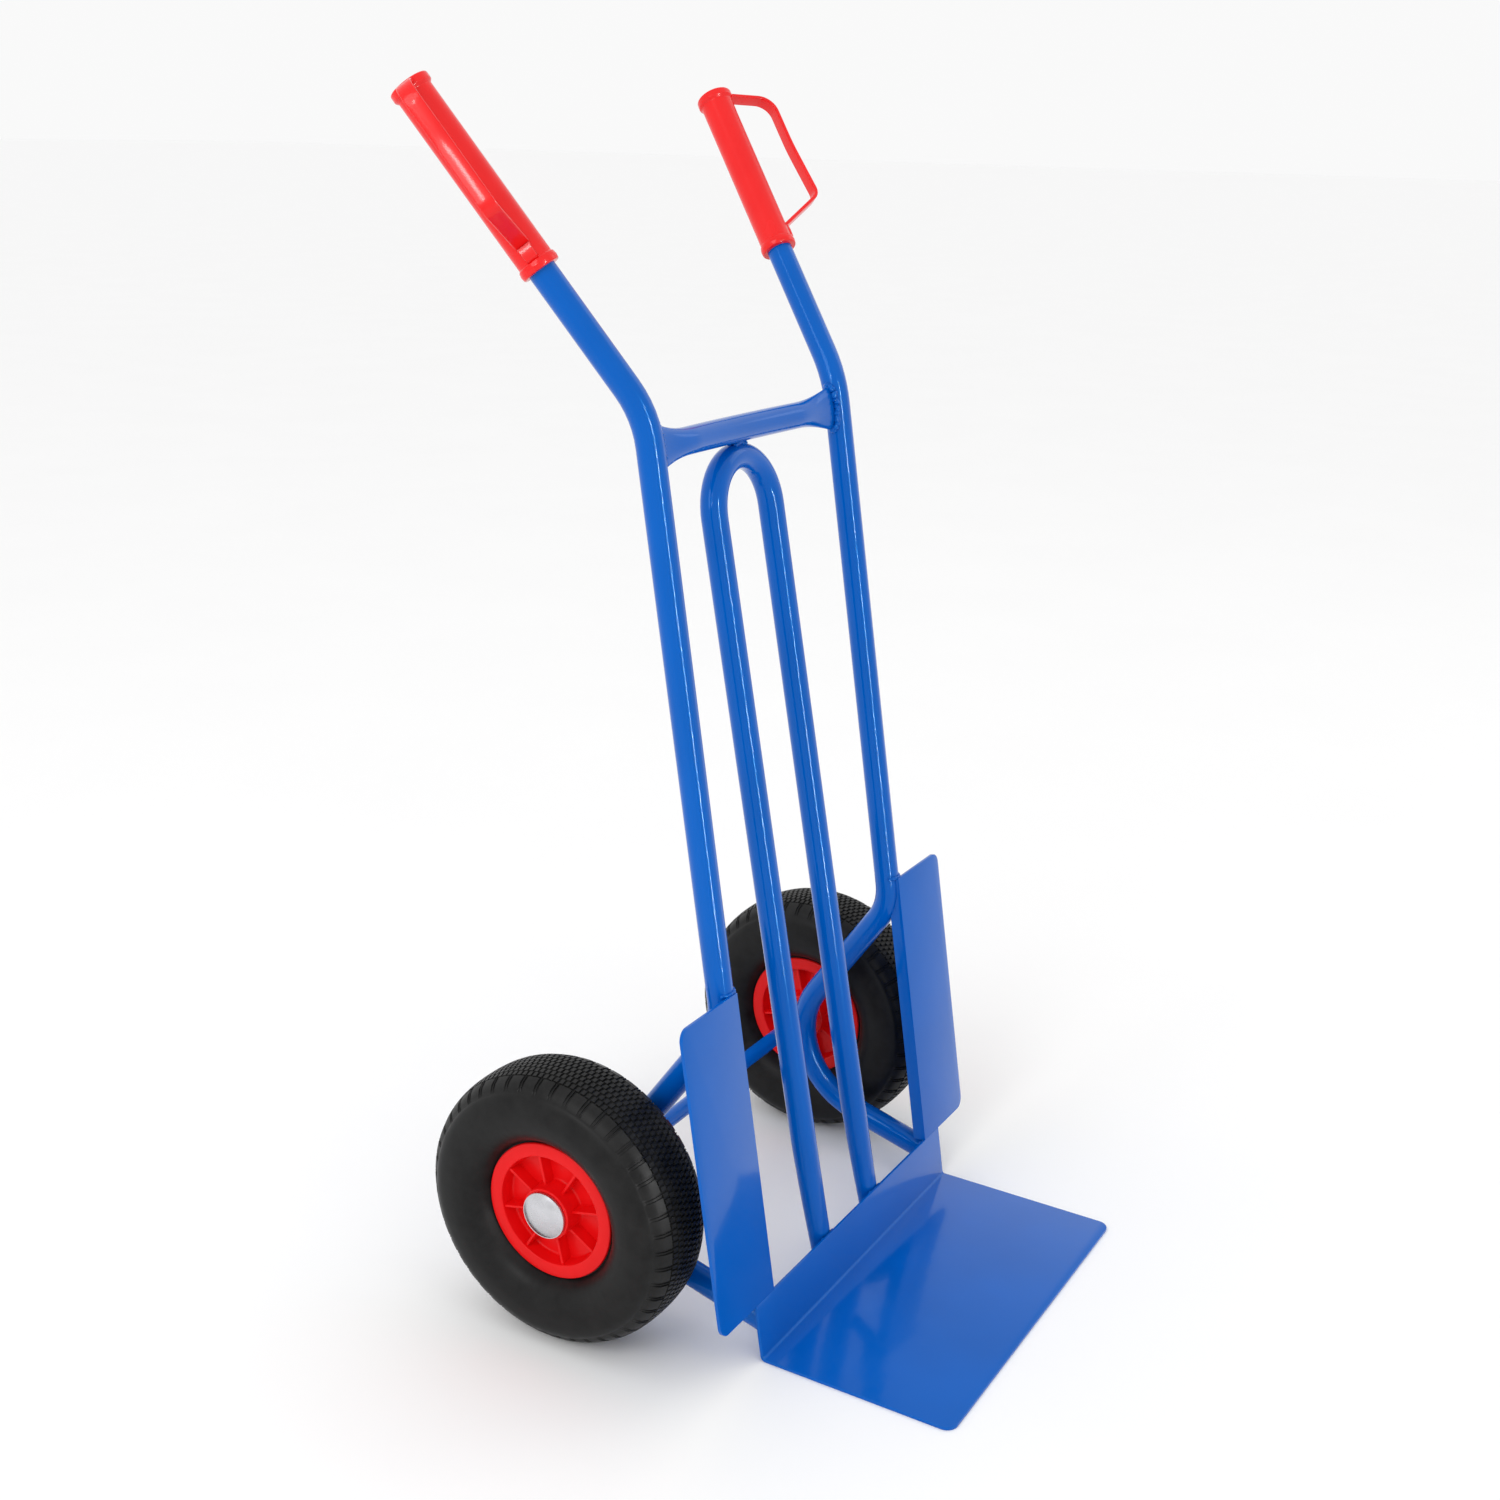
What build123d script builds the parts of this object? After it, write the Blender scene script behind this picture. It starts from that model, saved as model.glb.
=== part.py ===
from build123d import *
from math import asin, cos, hypot, radians, sin, sqrt, tan
import os

os.makedirs("parts", exist_ok=True)

# ------------------------------------------------------------------ driving dimensions (mm)
# The part frame: X across the truck, +Y to the rear, +Z up, the floor at Z = 0.
lean = 9.2                     # degrees that the uprights lean back from vertical
sheet = 3.0                    # toe plate, back flange and wheel guards
tube_d = 24.0                  # side tubes, hairpin and crossbar
tube_wall = 1.8
track = 321.0                  # between the side tubes' centre lines

toe_width = 376.0
toe_depth = 184.0              # front edge to the front face of the flange
flange_height = 51.5
toe_corner = 11.0
bend_inside = 2.5

guard_inner = 156.5            # half distances from the middle of the truck
guard_outer = 246.5
guard_top = 334.5              # height along the uprights
guard_return = 13.0            # depth of the folded inner edge
guard_corner = 11.0

handle_vertex = 829.5          # where the uprights' and the handles' centre lines meet
handle_back = 136.0            # rearward, outward and upward reach of a handle
handle_out = 66.5
handle_up = 271.0
handle_bend = 100.0

foot_vertex = 305.0            # where the upright turns back towards the axle
foot_bend = 55.0
loop_back = 181.5              # the corner that the loop's arc rounds off
loop_height = 117.2
loop_bend = 83.0
loop_out_back = 0.026          # outward drift of the loop per mm rearward and per mm down
loop_out_down = 0.0424
foot_slope = 0.45              # rise of the lower tube per mm rearward
foot_height = 35.5             # its height at the plane of the uprights
foot_overrun = 14.0            # how far its route runs on past the flange before it is trimmed

hairpin_width = 97.6
hairpin_foot = 16.0            # height of its cut ends
hairpin_top = 777.0            # height of the middle of its arc
hairpin_set_back = 19.5        # how much further back its top stands than its foot
foot_press = ((130.0, 12.0, 12.0), (60.0, 10.2, 12.8), (0.0, 7.6, 13.8))   # height, half depth, half width

bar_height = 801.0
bar_bow = 12.0                 # how far its middle stands behind its ends
bar_straight = 88.0            # half length of the round stretch
bar_press = (                  # the pressed ends: distance out, half depth, half height
    (104.0, 10.6, 12.2), (121.0, 8.0, 14.0), (138.0, 5.8, 17.6), (160.5, 4.5, 23.0),
)
bar_wall = 1.5

axle_d = 16.0
axle_back = 180.0              # from the flange's front face, at the height of a tyre's radius
axle_half = 268.0
tyre_r = 130.0
tyre_width = 87.0
sidewall_r = 94.0              # radius where the tyre is widest
shoulder_r = 119.0             # edge of the tread
shoulder_in = 9.0              # and how far it stands in from the widest part
wheel_x = 232.5                # middle of each wheel
rim_r = 64.8
rim_half = 27.0                # half width over the rim's flanges
rim_flange_t = 3.0
rim_round = 1.2                # rounding of the flanges' edges
seat_r = 54.0                  # where the tyre sits
well_r = 51.0                  # inside of the rim's barrel
web_x = 10.0                   # gap from the middle of the wheel to each web
web_t = 3.0
hub_r = 24.0
hub_half = 32.5
hub_step = 3.0                 # shoulder behind each bearing
hub_tube_t = 7.5
rib_t = 2.4
rib_count = 8
rib_turn = 13.5                # degrees from the rearward line to the first rib
rib_set_back = 2.0             # below the outer faces of the rim's flanges

bearing_od = 35.0
bearing_width = 11.0
race_t = 2.6
ball_d = 4.0
ball_count = 10
running_gap = 0.05             # radial clearance between the inner race and the axle
fit_gap = 0.02                 # clearance of the balls in their grooves and of the grips on the tubes

end_float = 0.4                # clearance along the axle at each end of a hub
loop_gap = 1.0                 # between a loop and its spacer
spacer_d = 23.0
washer_d = 34.0
washer_t = 1.5
cap_r = 21.8
cap_height = 8.5
cap_skirt = 2.2                # straight rim below the dome
cap_t = 0.9

grip_r = 15.3
grip_foot = 139.0              # distances along the handle from its vertex
grip_collar = 146.0
grip_sleeve = 153.0
grip_head = 306.5
grip_end = 313.5
grip_swell = 1.6               # collar proud of the sleeve
grip_bevel = 1.2
grip_end_wall = 6.0
head_r = 17.6
guard_turn = 27.5              # degrees that the knuckle guard turns forward from straight outward
band_width = 13.4
band_t = 3.2
band_reach = 58.5              # from the handle's centre line
band_flare = 3.5               # and further at the bottom than at the top
band_top = 302.0               # distances along the handle of the band's corners
band_bottom = 188.0
band_foot = 162.0
band_bends = (17.0, 11.0)

# ------------------------------------------------------------------ derived frames
tube_r = tube_d / 2
half_track = track / 2
tube_y = sheet + tube_r        # the uprights stand on the back of the sheet
rise = Vector(0, sin(radians(lean)), cos(radians(lean)))
handle_length = hypot(handle_back, handle_out, handle_up)


def handle_axis(side):
    """Direction of one handle in the leaning frame."""
    return Vector(side * handle_out, handle_back, handle_up).normalized()


# The rearmost point is the rim of a grip's end, and Y = 0 is half way from it to the toe's edge.
end_back = tube_y + handle_back * grip_end / handle_length
end_up = handle_vertex + handle_up * grip_end / handle_length
end_y = end_back * cos(radians(lean)) + end_up * sin(radians(lean))
world_axis_y = (handle_back * cos(radians(lean)) + handle_up * sin(radians(lean))) / handle_length
rear_y = end_y + head_r * sqrt(1 - world_axis_y**2)
flange_y = (toe_depth - rear_y) / 2

# Leaning frame: X across, Y rearward from the flange's front face, Z up the uprights.
leaning = Plane(origin=(0, flange_y, sheet), x_dir=(1, 0, 0), z_dir=rise)


def loop_x(side, y, z):
    """Sideways place of a side tube's centre line below its lower bend."""
    drift = loop_out_back * (y - tube_y) + loop_out_down * (foot_vertex - z)
    return side * (half_track + drift)


# The axle lies against the rear of both loops, at the height of a tyre's radius.
axle_y = flange_y + axle_back
axle_line = Plane(origin=(0, axle_y, tyre_r), x_dir=(0, 1, 0), z_dir=(1, 0, 0))
wheel_axis = Axis((0, axle_y, tyre_r), (1, 0, 0))


def tube_path(points, radii):
    """Centre line of a bent tube, as straight runs and tangent arcs in the leaning frame."""
    corners = [leaning.from_local_coords(point) for point in points]
    with BuildLine() as path:
        FilletPolyline(*corners, radius=radii)
    return path.wires()[0]


def section(path):
    return Plane(origin=path @ 0, z_dir=path % 0)


def side_route(side):
    axis = handle_axis(side)
    vertex = Vector(side * half_track, tube_y, handle_vertex)
    top = vertex + axis * (grip_end - grip_end_wall)
    foot = Vector(side * half_track, tube_y, foot_vertex)
    corner = Vector(loop_x(side, tube_y + loop_back, loop_height), tube_y + loop_back, loop_height)
    end_z = foot_height - foot_slope * (foot_overrun + tube_y)
    end = Vector(loop_x(side, -foot_overrun, end_z), -foot_overrun, end_z)
    return tube_path([top, vertex, foot, corner, end], [handle_bend, foot_bend, loop_bend])


# ------------------------------------------------------------------ side tubes
def side_tube(side):
    """One continuous tube: grip end, upright, bend to the axle, loop, and back to the flange."""
    route = side_route(side)
    with BuildPart() as tube:
        with BuildSketch(section(route)):
            Circle(tube_r)
            Circle(tube_r - tube_wall, mode=Mode.SUBTRACT)
        sweep(path=route)
        # The lower end is cut flush with the back of the flange.
        with BuildSketch(leaning.offset(-flange_height)):
            with Locations((side * half_track, sheet - 2 * tube_d)):
                Rectangle(4 * tube_d, 4 * tube_d)
        extrude(amount=3 * flange_height, mode=Mode.SUBTRACT)
    return tube


def side_tube_body(side):
    """The same tube without its bore, for coping the pieces that are fitted to it."""
    route = side_route(side)
    with BuildPart() as body:
        with BuildSketch(section(route)):
            Circle(tube_r)
        sweep(path=route)
    return body.part


# ------------------------------------------------------------------ hairpin and crossbar
hairpin_tilt = hairpin_set_back / (hairpin_top - hairpin_foot)
hairpin_up = leaning.y_dir * hairpin_tilt + leaning.z_dir
hairpin_base = leaning.from_local_coords(Vector(0, tube_y, hairpin_foot))
hairpin_plane = Plane(origin=hairpin_base, x_dir=(1, 0, 0), z_dir=Vector(1, 0, 0).cross(hairpin_up))


def hairpin_body(inset):
    """A round hairpin whose feet are pressed towards the flange, shrunk all round by the inset."""
    half = hairpin_width / 2
    arc_foot = hairpin_top - hairpin_foot - half
    pressed = foot_press[0][0]
    with BuildPart() as body:
        with BuildLine(hairpin_plane) as route:
            Line((-half, pressed), (-half, arc_foot))
            ThreePointArc((-half, arc_foot), (0, arc_foot + half), (half, arc_foot))
            Line((half, arc_foot), (half, pressed))
        wire = route.wires()[0]
        with BuildSketch(section(wire)):
            Circle(tube_r - inset)
        sweep(path=wire)
        for x in (-half, half):
            for height, half_depth, half_width in foot_press:
                across = Plane(
                    origin=hairpin_plane.from_local_coords((x, height)),
                    x_dir=(1, 0, 0),
                    z_dir=hairpin_plane.y_dir,
                )
                with BuildSketch(across):
                    with Locations((0, half_depth - tube_r)):
                        Ellipse(half_width - inset, half_depth - inset)
            loft()
    return body.part


def hairpin_tube():
    with BuildPart() as hairpin:
        add(hairpin_body(0))
        add(hairpin_body(tube_wall), mode=Mode.SUBTRACT)
    return hairpin


bar_radius = (half_track**2 + bar_bow**2) / (2 * bar_bow)


def bar_plane(x):
    """Section plane of the bowed crossbar, at a distance x from the middle of the truck."""
    turn = asin(x / bar_radius)
    back = bar_bow - bar_radius * (1 - cos(turn))
    origin = leaning.from_local_coords(Vector(x, tube_y + back, bar_height))
    along = Vector(cos(turn), 0, 0) - leaning.y_dir * sin(turn)
    return Plane(origin=origin, x_dir=along.cross(rise), z_dir=along)


def bar_body(inset):
    """Round in the middle, pressed flat and tall at both ends, shrunk all round by the inset."""
    with BuildPart() as bar:
        with BuildLine() as middle:
            ThreePointArc(*(bar_plane(x).origin for x in (-bar_straight, 0, bar_straight)))
        route = middle.wires()[0]
        with BuildSketch(bar_plane(-bar_straight)):
            Circle(tube_r - inset)
        sweep(path=route)
        for side in (-1, 1):
            with BuildSketch(bar_plane(side * bar_straight)):
                Circle(tube_r - inset)
            for distance, half_depth, half_height in bar_press:
                with BuildSketch(bar_plane(side * distance)):
                    Ellipse(half_depth - inset, half_height - inset)
            loft()
    return bar.part


def crossbar(left_body, right_body):
    with BuildPart() as bar:
        add(bar_body(0))
        add(bar_body(bar_wall), mode=Mode.SUBTRACT)
        add(left_body, mode=Mode.SUBTRACT)
        add(right_body, mode=Mode.SUBTRACT)
    return bar


# ------------------------------------------------------------------ sheet metal
def toe_plate():
    """Toe plate and low back flange, folded from one sheet."""
    top = rise * flange_height
    back = Vector(0, cos(radians(lean)), -sin(radians(lean))) * sheet
    fold = sheet * tan(radians(45 - lean / 2))
    with BuildPart() as plate:
        with BuildSketch(Plane(origin=(0, flange_y, 0), x_dir=(0, 1, 0), z_dir=(1, 0, 0))):
            with BuildLine():
                Polyline(
                    (-toe_depth, sheet),
                    (0, sheet),
                    (top.Y, sheet + top.Z),
                    (top.Y + back.Y, sheet + top.Z + back.Z),
                    (fold, 0),
                    (-toe_depth, 0),
                    close=True,
                )
            make_face()
            fillet(vertices().sort_by_distance((0, sheet, 0))[0], bend_inside)
            fillet(vertices().sort_by_distance((fold, 0, 0))[0], bend_inside + sheet)
        extrude(amount=toe_width / 2, both=True)
        fillet(plate.edges().filter_by(Axis.Z).group_by(Axis.Y)[0], toe_corner)
    return plate


def wheel_guard(side, tube_body):
    """Flat guard in front of a wheel, with its inner edge folded back towards the tube."""
    width = guard_outer - guard_inner
    height = guard_top - flange_height
    with BuildPart() as guard:
        with BuildSketch(leaning.offset(flange_height)):
            with Locations((side * (guard_inner + width / 2), sheet / 2)):
                Rectangle(width, sheet)
            with Locations((side * (guard_inner + sheet / 2), guard_return / 2)):
                Rectangle(sheet, guard_return)
        extrude(amount=height)
        across = guard.faces().filter_by(Axis.X).sort_by(Axis.X)
        outer_face = across[-1] if side > 0 else across[0]
        fillet(outer_face.edges().filter_by(Axis.Y, tolerance=15).sort_by(Axis.Z), guard_corner)
        add(tube_body, mode=Mode.SUBTRACT)
    return guard


# ------------------------------------------------------------------ axle, spacers, caps
def axle():
    with BuildPart() as rod:
        with BuildSketch(axle_line.offset(-axle_half)):
            Circle(axle_d / 2)
        extrude(amount=2 * axle_half)
        chamfer(rod.edges().filter_by(GeomType.CIRCLE), 1.2)
    return rod


def turned(side, points):
    """Solid of revolution about a wheel's axis, from (distance outboard, radius) corners."""
    profile = Plane(origin=(0, axle_y, tyre_r), x_dir=(side, 0, 0), z_dir=(0, -side, 0))
    with BuildPart() as solid:
        with BuildSketch(profile):
            with BuildLine():
                Polyline(*points, close=True)
            make_face()
        revolve(axis=wheel_axis)
    return solid


# Outboard of each loop, along the axle: spacer, washer, hub and cap.
axle_place = leaning.to_local_coords(Vector(0, axle_y, tyre_r))
loop_side = loop_x(1, axle_place.Y - tube_r - axle_d / 2, axle_place.Z) + tube_r
hub_in = wheel_x - hub_half
hub_out = wheel_x + hub_half
washer_in = hub_in - end_float - washer_t
bore_r = axle_d / 2 + running_gap


def wheel_spacer(side):
    start = loop_side + loop_gap
    return turned(side, [
        (start, bore_r), (washer_in, bore_r), (washer_in, spacer_d / 2), (start, spacer_d / 2),
    ])


def wheel_washer(side):
    end = washer_in + washer_t
    return turned(side, [
        (washer_in, bore_r), (end, bore_r), (end, washer_d / 2), (washer_in, washer_d / 2),
    ])


def dome_cap(side):
    """Push-on cap: a domed shell closed by a ring that grips the end of the axle."""
    base = hub_out + end_float
    skirt = base + cap_skirt
    top = base + cap_height
    profile = Plane(origin=(0, axle_y, tyre_r), x_dir=(side, 0, 0), z_dir=(0, -side, 0))
    shells = (
        (base, top, cap_r, Mode.ADD),
        (base + cap_t, top - cap_t, cap_r - cap_t, Mode.SUBTRACT),
    )
    with BuildPart() as cap:
        for foot, crown, radius, mode in shells:
            dome_h = crown - skirt
            ball_r = (radius**2 + dome_h**2) / (2 * dome_h)
            half_way = crown - ball_r + sqrt(ball_r**2 - (radius / 2) ** 2)
            with BuildSketch(profile):
                with BuildLine():
                    Polyline((crown, 0), (foot, 0), (foot, radius), (skirt, radius))
                    ThreePointArc((skirt, radius), (half_way, radius / 2), (crown, 0))
                make_face()
            revolve(axis=wheel_axis, mode=mode)
        with BuildSketch(axle_line.offset(side * base)):
            Circle(axle_d / 2)
        extrude(amount=side * 1.5 * cap_t, mode=Mode.SUBTRACT)
    return cap


# ------------------------------------------------------------------ wheels
def tyre(side):
    """Round-shouldered tyre that fills the rim's channel."""
    half = tyre_width / 2
    channel = rim_half - rim_flange_t
    bead_r = rim_r + 1.0
    profile = Plane(origin=(side * wheel_x, axle_y, tyre_r), x_dir=(side, 0, 0), z_dir=(0, -side, 0))
    with BuildPart() as ring:
        with BuildSketch(profile):
            with BuildLine():
                Line((-channel, seat_r), (channel, seat_r))
                Line((channel, seat_r), (channel, bead_r))
                Spline(
                    (channel, bead_r),
                    (half, sidewall_r),
                    (half - shoulder_in, shoulder_r),
                    (0, tyre_r),
                    tangents=((1, 0.55), (-1, 0)),
                )
                Spline(
                    (0, tyre_r),
                    (shoulder_in - half, shoulder_r),
                    (-half, sidewall_r),
                    (-channel, bead_r),
                    tangents=((-1, 0), (1, -0.55)),
                )
                Line((-channel, bead_r), (-channel, seat_r))
            make_face()
        revolve(axis=wheel_axis)
    return ring


def rim_half_shell(side, facing):
    """Half of a moulded rim: flange ring, barrel, recessed web, ribs and hub."""
    out = side * facing
    profile = Plane(origin=(side * wheel_x, axle_y, tyre_r), x_dir=(out, 0, 0), z_dir=(0, -out, 0))
    ring_x = rim_half - rim_flange_t
    bearing_r = bearing_od / 2
    step = hub_half - bearing_width
    throat_r = bearing_r - hub_step
    with BuildPart() as shell:
        with BuildSketch(profile):
            with BuildLine():
                Polyline(
                    (0, well_r),
                    (0, seat_r),
                    (ring_x, seat_r),
                    (ring_x, rim_r),
                    (rim_half, rim_r),
                    (rim_half, well_r),
                    (web_x + web_t, well_r),
                    (web_x + web_t, hub_r),
                    (hub_half, hub_r),
                    (hub_half, bearing_r),
                    (step, bearing_r),
                    (step, throat_r),
                    (0, throat_r),
                    (0, throat_r + hub_tube_t),
                    (web_x, throat_r + hub_tube_t),
                    (web_x, well_r),
                    close=True,
                )
            make_face()
        revolve(axis=wheel_axis)
        rib_plane = Plane(
            origin=(side * wheel_x + out * web_x, axle_y, tyre_r), x_dir=(0, 1, 0), z_dir=(out, 0, 0)
        )
        rib_start = hub_r - rib_t / 2
        rib_length = well_r + rib_t / 2 - rib_start
        with BuildSketch(rib_plane):
            with PolarLocations(rib_start + rib_length / 2, rib_count, start_angle=rib_turn):
                Rectangle(rib_length, rib_t)
        extrude(amount=rim_half - web_x - rib_set_back)
        lip = shell.edges().filter_by(GeomType.CIRCLE).group_by(SortBy.RADIUS)[-1]
        fillet(lip.sort_by(Axis.X)[-1 if out > 0 else 0], rim_round)
    return shell


def bearing(side, facing):
    """Deep-groove bearing: two races and a ring of balls."""
    out = side * facing
    end = side * wheel_x + out * hub_half
    profile = Plane(origin=(end, axle_y, tyre_r), x_dir=(out, 0, 0), z_dir=(0, -out, 0))
    outer_r = bearing_od / 2
    pitch_r = (bore_r + outer_r) / 2
    groove = ball_d / 2 + fit_gap
    with BuildPart() as races:
        with BuildSketch(profile):
            with Locations((-bearing_width / 2, bore_r + race_t / 2)):
                Rectangle(bearing_width, race_t)
            with Locations((-bearing_width / 2, outer_r - race_t / 2)):
                Rectangle(bearing_width, race_t)
            with Locations((-bearing_width / 2, pitch_r)):
                Circle(groove, mode=Mode.SUBTRACT)
        revolve(axis=wheel_axis)
        ball_plane = Plane(
            origin=(end - out * bearing_width / 2, axle_y, tyre_r), x_dir=(0, 1, 0), z_dir=(out, 0, 0)
        )
        with Locations(ball_plane):
            with PolarLocations(pitch_r, ball_count):
                Sphere(ball_d / 2)
    return races


# ------------------------------------------------------------------ grips
def grip(side):
    """Moulded grip with a closed head, a foot collar and a knuckle guard band."""
    vertex_place = Vector(side * half_track, tube_y, handle_vertex)
    vertex = leaning.from_local_coords(vertex_place)
    axis = leaning.from_local_coords(vertex_place + handle_axis(side)) - vertex
    outward = (Vector(side, 0, 0) - axis * (side * axis.X)).normalized()
    forward = outward.cross(axis) * side
    turn = radians(guard_turn)
    reach_dir = outward * cos(turn) + forward * sin(turn)
    profile = Plane(origin=vertex, x_dir=reach_dir, z_dir=reach_dir.cross(axis))
    bore = tube_r + fit_gap
    shoulder = grip_r + grip_swell
    with BuildPart() as handle:
        with BuildSketch(profile):
            with BuildLine():
                Polyline(
                    (bore, grip_foot),
                    (grip_r - grip_bevel, grip_foot),
                    (grip_r, grip_foot + grip_bevel),
                    (grip_r, grip_collar),
                    (shoulder, grip_collar + grip_bevel),
                    (shoulder, grip_sleeve - grip_bevel),
                    (grip_r, grip_sleeve),
                    (grip_r, grip_head - 2 * grip_bevel),
                    (head_r, grip_head),
                    (head_r, grip_end - 2 * grip_bevel),
                    (head_r - 2 * grip_bevel, grip_end),
                    (0, grip_end),
                    (0, grip_end - grip_end_wall + 0.5),
                    (bore, grip_end - grip_end_wall + 0.5),
                    close=True,
                )
            make_face()
        revolve(axis=Axis(vertex, axis))
        with BuildLine(profile) as band:
            FilletPolyline(
                (grip_r - 1.0, grip_end - band_t / 2),
                (band_reach, band_top),
                (band_reach + band_flare, band_bottom),
                (grip_r - 1.0, band_foot),
                radius=band_bends,
            )
        route = band.wires()[0]
        with BuildSketch(Plane(origin=route @ 0, x_dir=profile.z_dir, z_dir=route % 0)):
            RectangleRounded(band_width, band_t, band_t / 3)
        sweep(path=route)
    return handle


# ------------------------------------------------------------------ build and write every piece
bodies = {"left": side_tube_body(-1), "right": side_tube_body(1)}
pieces = {
    "hairpin_tube": hairpin_tube(),
    "crossbar": crossbar(bodies["left"], bodies["right"]),
    "toe_plate": toe_plate(),
    "axle": axle(),
}
for name, side in (("left", -1), ("right", 1)):
    pieces[f"side_tube_{name}"] = side_tube(side)
    pieces[f"wheel_guard_{name}"] = wheel_guard(side, bodies[name])
    pieces[f"wheel_spacer_{name}"] = wheel_spacer(side)
    pieces[f"wheel_washer_{name}"] = wheel_washer(side)
    pieces[f"dome_cap_{name}"] = dome_cap(side)
    pieces[f"grip_{name}"] = grip(side)
    pieces[f"tyre_{name}"] = tyre(side)
    pieces[f"rim_outer_{name}"] = rim_half_shell(side, 1)
    pieces[f"rim_inner_{name}"] = rim_half_shell(side, -1)
    pieces[f"bearing_outer_{name}"] = bearing(side, 1)
    pieces[f"bearing_inner_{name}"] = bearing(side, -1)

for label, piece in pieces.items():
    piece.part.label = label
    export_step(piece.part, f"parts/{label}.step")
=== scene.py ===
from math import cos, pi, radians, sin, sqrt, tau

import bmesh
import bpy
from mathutils import Matrix, Vector, noise


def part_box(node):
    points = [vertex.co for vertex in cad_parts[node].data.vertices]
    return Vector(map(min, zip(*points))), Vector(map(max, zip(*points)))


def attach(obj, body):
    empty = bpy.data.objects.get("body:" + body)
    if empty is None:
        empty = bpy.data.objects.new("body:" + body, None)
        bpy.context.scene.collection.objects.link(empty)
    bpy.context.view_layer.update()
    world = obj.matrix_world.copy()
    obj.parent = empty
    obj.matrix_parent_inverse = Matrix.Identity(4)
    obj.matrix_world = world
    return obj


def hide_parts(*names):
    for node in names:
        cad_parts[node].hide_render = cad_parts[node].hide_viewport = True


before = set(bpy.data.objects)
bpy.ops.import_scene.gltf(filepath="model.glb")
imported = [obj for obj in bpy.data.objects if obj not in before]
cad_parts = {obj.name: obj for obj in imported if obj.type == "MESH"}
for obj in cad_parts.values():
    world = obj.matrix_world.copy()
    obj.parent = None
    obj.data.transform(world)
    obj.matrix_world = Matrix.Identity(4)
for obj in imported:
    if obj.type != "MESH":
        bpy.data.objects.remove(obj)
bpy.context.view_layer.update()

MM = 0.001
SIDES = (("left", -1), ("right", 1))

# ------------------------------------------------------------------ sizes shared with the part
lean = radians(9.2)            # of the uprights, back from vertical
sheet = 3 * MM                 # toe plate, flange and wheel guards
tube_r = 12 * MM
half_track = 160.5 * MM        # from the middle of the truck to an upright's centre line
hairpin_half = 48.8 * MM       # and to a leg of the hairpin
toe_depth = 184 * MM           # front edge to the front face of the flange
flange_height = 51.5 * MM
guard_top = 334.5 * MM         # height along the uprights, as are the two below
bar_height = 801 * MM
handle_vertex = 829.5 * MM     # where the uprights' and the handles' centre lines meet
bar_bow = 12 * MM              # how far the crossbar's middle stands behind its ends
handle_reach = Vector((66.5, 136, 271))     # outward, rearward and upward reach of a handle
wheel_x = 232.5 * MM           # middle of each wheel

tube_y = sheet + tube_r
axle_low, axle_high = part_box("axle")
axle_centre = (axle_low + axle_high) / 2
flange_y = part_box("toe_plate")[0].y + toe_depth


def leaning(x, y, z):
    """World place of a point given across, behind the flange's front face, and up the uprights."""
    return Vector((x, flange_y + y * cos(lean) + z * sin(lean), sheet - y * sin(lean) + z * cos(lean)))


# ------------------------------------------------------------------ mesh helpers
def new_piece(name, points, faces, body, material, smooth_angle=35):
    """A mesh object that rides on a CAD body and takes a material slot of the record."""
    mesh = bpy.data.meshes.new(name)
    mesh.from_pydata([tuple(p) for p in points], [], faces)
    mesh.validate()
    return finish_piece(name, mesh, body, material, smooth_angle)


def finish_piece(name, mesh, body, material, smooth_angle=35):
    """The same from a finished mesh. Edges sharper than the smooth angle stay crisp."""
    piece = bpy.data.objects.new(name, mesh)
    bpy.context.scene.collection.objects.link(piece)
    mesh.materials.clear()
    mesh.materials.append(material)
    mesh.shade_smooth()
    mesh.set_sharp_from_angle(angle=radians(smooth_angle))
    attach(piece, body)
    return piece


def axes(origin, x_dir, z_dir):
    """A right-handed placement matrix from an origin, an x direction and a z direction."""
    z = z_dir.normalized()
    x = (x_dir - z * x_dir.dot(z)).normalized()
    y = z.cross(x)
    return Matrix.Translation(origin) @ Matrix((x, y, z)).transposed().to_4x4()


def lathe(profile, turns, place):
    """Points and faces of a closed (radius, height) profile turned about a placement's z axis."""
    points = []
    for k in range(turns):
        angle = tau * k / turns
        for radius, height in profile:
            points.append(place @ Vector((radius * cos(angle), radius * sin(angle), height)))
    count = len(profile)
    faces = []
    for k in range(turns):
        here = k * count
        there = ((k + 1) % turns) * count
        for i in range(count):
            j = (i + 1) % count
            faces.append((here + i, there + i, there + j, here + j))
    return points, faces


def rounded_profile(corners, steps=5):
    """A closed outline from (x, y, radius) corners, with each corner rounded by an arc."""
    outline = []
    count = len(corners)
    for i in range(count):
        here = Vector(corners[i][:2])
        radius = corners[i][2]
        to_last = Vector(corners[i - 1][:2]) - here
        to_next = Vector(corners[(i + 1) % count][:2]) - here
        if radius <= 0:
            outline.append(here)
            continue
        to_last.normalize()
        to_next.normalize()
        half = to_last.angle(to_next) / 2
        centre = here + (to_last + to_next).normalized() * (radius / sin(half))
        start = here + to_last * (radius * cos(half) / sin(half)) - centre
        end = here + to_next * (radius * cos(half) / sin(half)) - centre
        turn = start.angle_signed(end)
        for k in range(steps + 1):
            part = -turn * k / steps
            outline.append(centre + Vector((
                start.x * cos(part) - start.y * sin(part),
                start.x * sin(part) + start.y * cos(part),
            )))
    return outline


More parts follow.
